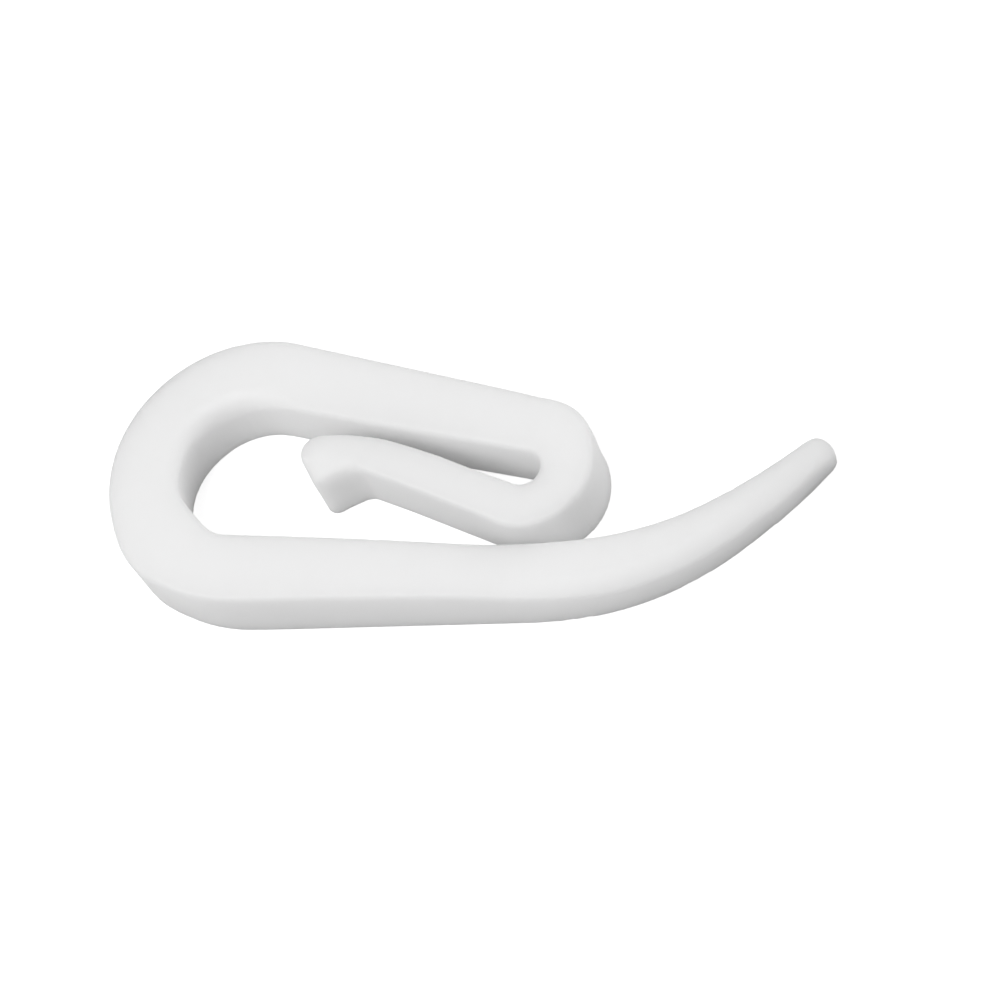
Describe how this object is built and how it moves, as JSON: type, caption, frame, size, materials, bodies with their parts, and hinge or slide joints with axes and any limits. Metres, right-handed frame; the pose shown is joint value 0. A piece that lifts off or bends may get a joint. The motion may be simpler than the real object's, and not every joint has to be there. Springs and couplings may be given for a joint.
{
  "type": "curtain hook",
  "caption": "One-piece moulded plastic curtain hook: round loop with a springy barbed tongue on one side and a slim rising tail with a rounded tip on the other.",
  "frame": {"origin": "middle of the hook's overall length and height, on the plane of its flat back face", "axes": "+X along the straight lower arm from the loop towards the tail, +Y from the lower arm towards the spring arm, +Z out of the front face; lying flat on its back"},
  "size_m": [0.03, 0.0122, 0.0027],
  "materials": {
    "nylon": "satin white"
  },
  "bodies": {
    "root": {"hook": "nylon"}
  },
  "joints": []
}
